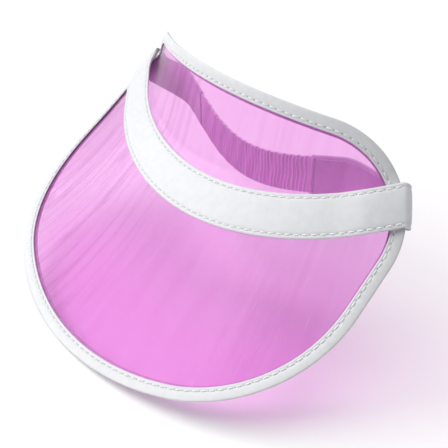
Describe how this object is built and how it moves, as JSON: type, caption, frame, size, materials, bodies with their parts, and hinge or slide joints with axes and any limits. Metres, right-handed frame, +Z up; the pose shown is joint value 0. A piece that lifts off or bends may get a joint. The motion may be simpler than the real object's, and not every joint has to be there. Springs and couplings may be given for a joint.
{
  "type": "sun visor",
  "caption": "Open-topped sun visor: tinted clear sheet brim and raised crest, bound edge, sewn front band and an elastic strap that folds back round the head.",
  "frame": {"origin": "where the forehead bears: inner face of the sheet behind the middle of the front band", "axes": "+X across the head towards the wearer's left temple, -Y forwards out of the brim, +Z up as worn"},
  "size_m": [0.2704, 0.1588, 0.1405],
  "materials": {
    "tinted_pvc": "clear gloss, pink tint",
    "white_vinyl": "soft satin vinyl",
    "thread": "white sewing thread",
    "foam": "white foam",
    "elastic": "gathered white elastic"
  },
  "bodies": {
    "visor": {"visor_sheet": "tinted_pvc", "edge_binding": "white_vinyl", "binding_stitch_outer": "thread", "binding_stitch_under": "thread", "band_lining": "foam", "front_band": "white_vinyl", "band_stitch_upper": "thread", "band_stitch_lower": "thread", "temple_fold_right": "white_vinyl", "temple_fold_left": "white_vinyl"},
    "strap_ends": {"strap_tab_right": "white_vinyl", "strap_tab_left": "white_vinyl", "tab_stitch_right": "thread", "tab_stitch_left": "thread", "elastic_seam_right": "thread", "elastic_seam_left": "thread"},
    "elastic": {"elastic_strap": "elastic"}
  },
  "joints": [
    {"name": "strap_flip", "type": "slide", "parent": "visor", "child": "strap_ends", "axis": [0, 1, 0], "range_m": [0, 0.032], "deforming": ["strap_tab_right", "strap_tab_left", "tab_stitch_right", "tab_stitch_left"]},
    {"name": "elastic_stretch", "type": "slide", "parent": "strap_ends", "child": "elastic", "axis": [0, 1, 0], "range_m": [0, 0.065]}
  ]
}
